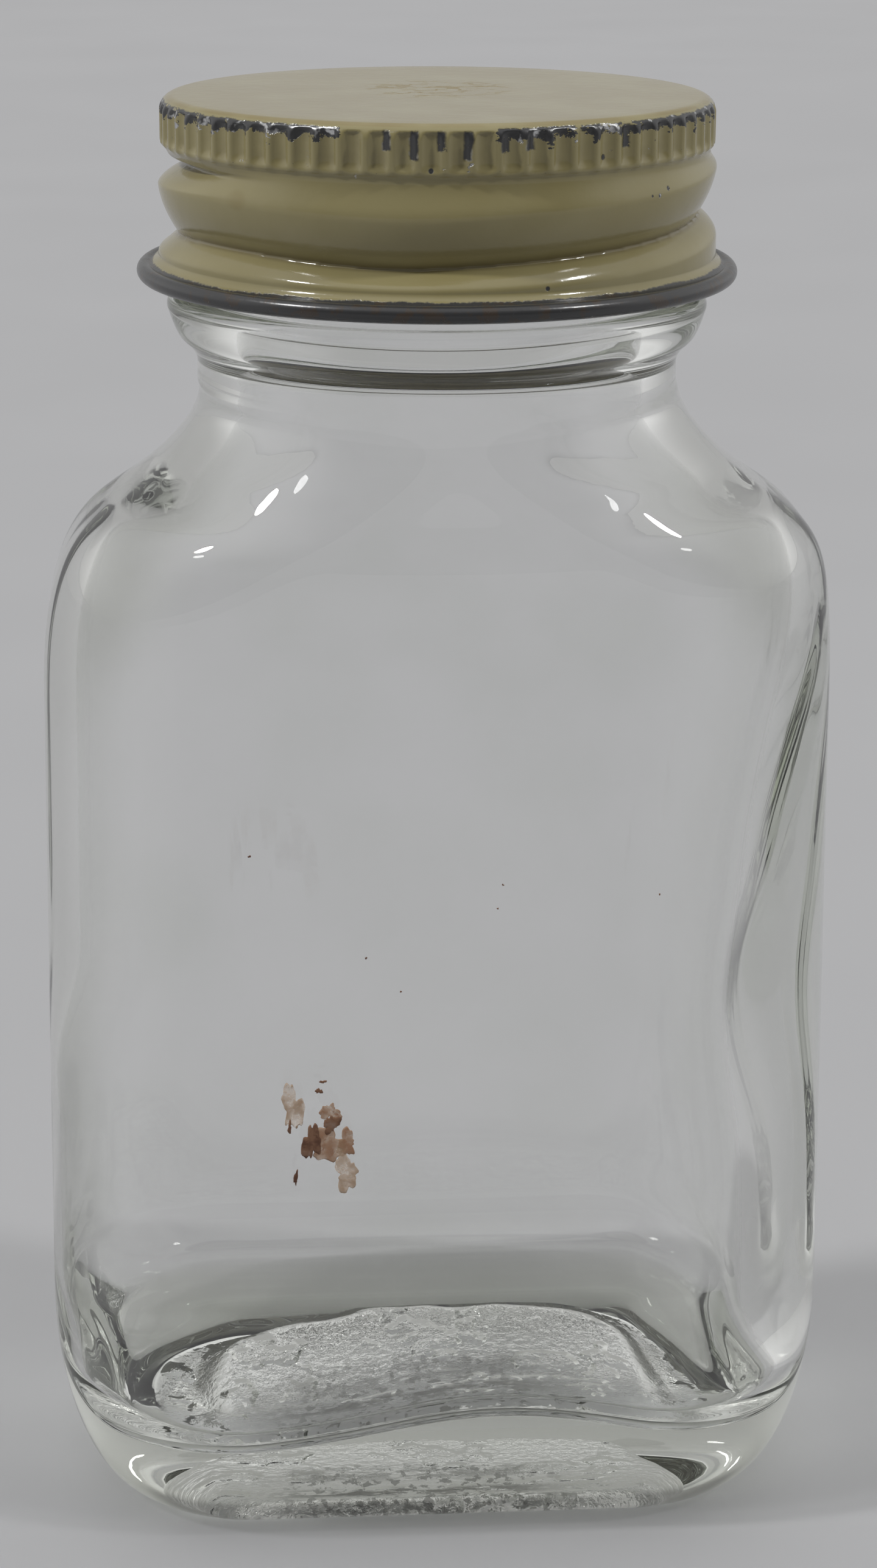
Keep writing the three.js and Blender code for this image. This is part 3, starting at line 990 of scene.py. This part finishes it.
# %% Pulpboard and waxed paper
board_finish, tree, place = new_finish("pressed_pulpboard")
fibre = cloud(place, 1.4, 4, 0.7)
flecks = cloud(place, 3.5, 2).rise(0.62, 0.7)
tone = blend(fibre, (0.40, 0.29, 0.155, 1), (0.48, 0.365, 0.21, 1))
surface = Wire.node(tree, "ShaderNodeBsdfPrincipled", {}, {
    "Base Color": blend(flecks * 0.6, tone, (0.2, 0.13, 0.06, 1)),
    "Roughness": fibre * 0.1 + 0.85,
    "Normal": bump(fibre, 0.06),
})
close_finish(surface)

facing_finish, tree, place = new_finish("waxed_paper_facing")
x, y = place.parts()[:2]
radius = (x * x + y * y).math("SQRT")
mottle = cloud(place, 0.5, 4, 0.6)
lip_mark = radius.hump((bore_radius + root_radius) / 2, 0.9, 0.5)
tone = blend(mottle, (0.74, 0.70, 0.57, 1), (0.80, 0.77, 0.66, 1))
surface = Wire.node(tree, "ShaderNodeBsdfPrincipled", {}, {
    "Base Color": blend(lip_mark * mottle, tone, (0.5, 0.43, 0.29, 1)),
    "Roughness": mottle * 0.2 + 0.35,
    "Normal": bump(mottle, 0.03),
})
close_finish(surface)


def liner_disc(name, low, high, edge, imprint, finish):
    """Disc with softened edges, and a ring pressed into its underside"""
    disc_radius = high[0]
    disc_angles = np.arange(160) / 160 * 2 * np.pi
    ring_middle = (bore_radius + root_radius) / 2
    profile = []
    for at in np.linspace(0.8, disc_radius - edge, 40):
        profile.append((at, low[2] + imprint * np.exp(-((at - ring_middle) / 0.8) ** 2)))
    profile += arc((disc_radius - edge, low[2] + edge), (edge, edge), -90, 0, 4)[1:]
    profile += arc((disc_radius - edge, high[2] - edge), (edge, edge), 0, 90, 4)
    profile += [(at, high[2]) for at in np.linspace(disc_radius - edge, 0.8, 8)[1:]]
    disc = skin(name, [round_points(disc_angles, at, height) for at, height in profile])
    disc.data.materials.append(finish)
    print(name, triangles(disc), "triangles")
    return disc


liner_pad = liner_disc("liner_pad", board_low, board_high, 0.15, 0.0, board_finish)
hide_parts("liner_board")
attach(liner_pad, "liner")
liner_paper = liner_disc("liner_paper", facing_low, facing_high, 0.05, 0.1, facing_finish)
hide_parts("liner_facing")
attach(liner_paper, "liner")

# %% [markdown]
# ## Scraps of an old label
#
# Low on the front panel a few scraps of paper and dried glue are left of a label, and tiny specks of
# paste are scattered above them. They are thin, ragged and brown, and lie flat on the glass. Each scrap
# is a small dome over a ragged outline, whose bumps come from a few waves with a fixed seed, so that the
# same scrap is cut on every run.

# %% Finishes of the scraps
def scrap_finish(name, light, dark, cover):
    """Dried paste, thinner and clearer towards cover = 0"""
    finish, tree, place = new_finish(name)
    blotch = cloud(place, 0.9, 4, 0.65)
    spots = cloud(place, 2.1, 3).rise(0.55, 0.68)
    surface = Wire.node(tree, "ShaderNodeBsdfPrincipled", {}, {
        "Base Color": blend(blotch.rise(0.35, 0.65).highest(spots), light, dark),
        "Roughness": blotch * 0.3 + 0.55,
        "Alpha": (blotch.rise(0.25, 0.7) * 0.6 + cover).highest(spots * 0.8).lowest(1.0),
        "Normal": bump(blotch, 0.08),
    })
    close_finish(surface)
    return finish


scrap_finishes = {
    "paste": scrap_finish("dried_label_paste", (0.24, 0.125, 0.07, 1), (0.10, 0.04, 0.02, 1), 0.7),
    "glue": scrap_finish("thin_brown_glue", (0.5, 0.33, 0.2, 1), (0.34, 0.18, 0.1, 1), 0.3),
    "paper": scrap_finish("pale_paper_film", (0.7, 0.54, 0.39, 1), (0.43, 0.29, 0.18, 1), 0.15),
}
print("scrap finishes:", ", ".join(scrap_finishes))

# %% Lay the scraps on the panel
panel_front = -body_depth / 2
scrap_angles = np.arange(56) / 56 * 2 * np.pi
scrap_levels = ((0.2, 1.0), (0.6, 0.95), (0.9, 0.7), (1.0, 0.0), (0.6, -0.4), (0.2, -0.4))
paste_height = 0.05
film_height = 0.02
gap_to_glass = 0.01
scraps = [
    ("paste", -8.6, 28.4, 0.5, 1.2),
    ("paste", -7.4, 29.55, 0.46, 0.6),
    ("glue", -7.6, 28.2, 1.1, 0.95),
    ("glue", -6.5, 28.25, 0.6, 0.75),
    ("glue", -7.45, 30.3, 0.55, 0.6),
    ("paper", -9.75, 30.7, 0.6, 1.4),
    ("paper", -6.5, 26.3, 0.75, 1.05),
    ("paste", -8.15, 31.75, 0.2, 0.18),
    ("paste", -7.9, 32.35, 0.2, 0.1),
    ("paste", -9.95, 29.4, 0.12, 0.4),
    ("paste", -9.6, 26.05, 0.13, 0.45),
    ("paste", -12.2, 46.9, 0.09, 0.07),
    ("paste", -5.25, 40.3, 0.06, 0.08),
    ("paste", -3.15, 38.1, 0.05, 0.07),
    ("paste", 3.0, 44.8, 0.06, 0.06),
    ("paste", 2.7, 43.3, 0.05, 0.06),
    ("paste", 12.5, 44.0, 0.06, 0.05),
]
chance = np.random.default_rng(11)
for number, (kind, middle_x, middle_z, half_across, half_up) in enumerate(scraps):
    ragged_edge = 1.0
    for waves in (2, 3, 5, 7, 11, 16):
        shift = chance.uniform(0, 2 * np.pi)
        ragged_edge = ragged_edge + 0.45 / waves ** 0.9 * np.sin(waves * scrap_angles + shift)
    thick = paste_height if kind == "paste" else film_height
    rings = []
    for share, stand in scrap_levels:
        across = middle_x + share * half_across * ragged_edge * np.cos(scrap_angles)
        up = middle_z + share * half_up * ragged_edge * np.sin(scrap_angles)
        out = np.full_like(across, panel_front - gap_to_glass - stand * thick)
        rings.append(np.stack([across, out, up], axis=-1))
    scrap = skin(f"label_scrap_{number + 1}", rings[::-1])
    scrap.data.materials.append(scrap_finishes[kind])
    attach(scrap, "bottle")
print(len(scraps), "scraps of label")

# %% [markdown]
# ## Floor
#
# The bottle stands on a plain pale surface that runs on behind it until it fills the picture. A slight
# gloss gives the faint reflection under the heel.

# %% A pale floor
floor_finish, tree, place = new_finish("pale_table")
haze = cloud(place, 0.02, 2)
surface = Wire.node(tree, "ShaderNodeBsdfPrincipled", {}, {
    "Base Color": blend(haze, (0.333, 0.333, 0.34, 1), (0.356, 0.356, 0.363, 1)),
    "Roughness": haze * 0.1 + 0.4,
})
close_finish(surface)
floor_radius = 4000.0
floor_angles = np.arange(96) / 96 * 2 * np.pi
floor_gap = 0.03
floor_bottom = -20.0
floor_levels = ((0.3, floor_bottom), (1.0, floor_bottom), (1.0, -floor_gap), (0.3, -floor_gap))
floor_rings = [round_points(floor_angles, share * floor_radius, level) for share, level in floor_levels]
floor = skin("floor", floor_rings)
floor.data.materials.append(floor_finish)
print("floor", 2 * floor_radius / 1000, "m across")

# %% [markdown]
# ## Light
#
# The bottle stood in a pale tent, with a lamp at each side and the darker room in front, where the camera
# was. Glass shows nothing but its surroundings, so that darkness draws its edges, while bright sides and
# a bright ceiling light the enamel. The world is a plain gradient between them. The lamps are far away,
# so they are suns, and the angle of a sun says how soft its shadows and how large its highlights are.

# %% A tent of light
scene = bpy.context.scene
world = bpy.data.worlds.new("soft_studio")
scene.world = world
world.use_nodes = True
tree = world.node_tree
tree.nodes.clear()
direction = Wire.node(tree, "ShaderNodeTexCoord", output="Generated")
x, y, z = direction.parts()
tent_back = 0.43
tent_side = 0.85
tent_roof = 0.95
open_front = 0.09
opening = (0 - y).rise(0.1, 0.7) * (1 - z.rise(0.45, 0.92))
glow = abs(x).rise(0.3, 0.95) * z.rise(-0.2, 0.2) * (tent_side - tent_back) + tent_back
glow = glow + z.rise(0.5, 1.0) * (tent_roof - glow)
glow = glow + opening * (open_front - glow)
white = (1, 1, 1, 1)
backdrop_grey = (0.42, 0.42, 0.427, 1)
ambient = Wire.node(tree, "ShaderNodeBackground", {}, {"Color": white, "Strength": glow})
backdrop = Wire.node(tree, "ShaderNodeBackground", {}, {"Color": backdrop_grey, "Strength": 1.0})
camera_ray = Wire.node(tree, "ShaderNodeLightPath", output="Is Camera Ray")
mixed = Wire.node(tree, "ShaderNodeMixShader", {}, {0: camera_ray, 1: ambient, 2: backdrop})
tree.links.new(mixed.socket, tree.nodes.new("ShaderNodeOutputWorld").inputs["Surface"])
print("tent:", len(tree.nodes), "nodes")

# %% Two lamps
lamp_spread = 5


def soft_lamp(name, turn, elevation, strength):
    """A distant lamp by its angle from the front, its angle above the floor and its strength"""
    lamp = bpy.data.lights.new(name, "SUN")
    lamp.angle = math.radians(lamp_spread)
    lamp.energy = strength
    lamp_object = bpy.data.objects.new(name, lamp)
    lamp_object.rotation_euler = (math.radians(90 - elevation), 0, math.radians(turn))
    scene.collection.objects.link(lamp_object)
    print(f"{name}: strength {strength}")


soft_lamp("left_lamp", -76, 48, 1.45)
soft_lamp("right_lamp", 66, 46, 0.98)

# %% [markdown]
# ## Camera
#
# The photograph was taken from close by, a little above the cap and just left of the middle. The camera
# below was fitted to the ellipses of the cap and the outline of the body, so the same edges fall on the
# same places.

# %% Stand the camera
camera_turn = math.radians(-4.177)
camera_pitch = math.radians(17.16)
camera_roll = math.radians(0.214)
camera_distance = 0.216022
camera_height = 0.11319
frame_width_mm = 36.0
camera_data = bpy.data.cameras.new("camera")
camera_data.sensor_width = frame_width_mm
camera_data.lens = 81.005
camera_data.shift_x = 0.0022
camera_data.clip_start = 0.01
camera_data.clip_end = 20.0
camera = bpy.data.objects.new("camera", camera_data)
stand = (math.sin(camera_turn) * camera_distance, -math.cos(camera_turn) * camera_distance, camera_height)
look = Matrix.Rotation(camera_turn, 4, "Z") @ Matrix.Rotation(math.pi / 2 - camera_pitch, 4, "X")
camera.matrix_world = Matrix.Translation(stand) @ look @ Matrix.Rotation(camera_roll, 4, "Z")
scene.collection.objects.link(camera)
scene.camera = camera
scene.view_settings.view_transform = "Standard"
bounces_in_glass = 32
scene.cycles.max_bounces = bounces_in_glass
scene.cycles.glossy_bounces = bounces_in_glass
scene.cycles.transmission_bounces = bounces_in_glass
print("camera at", [round(value / MM, 1) for value in stand], "mm")
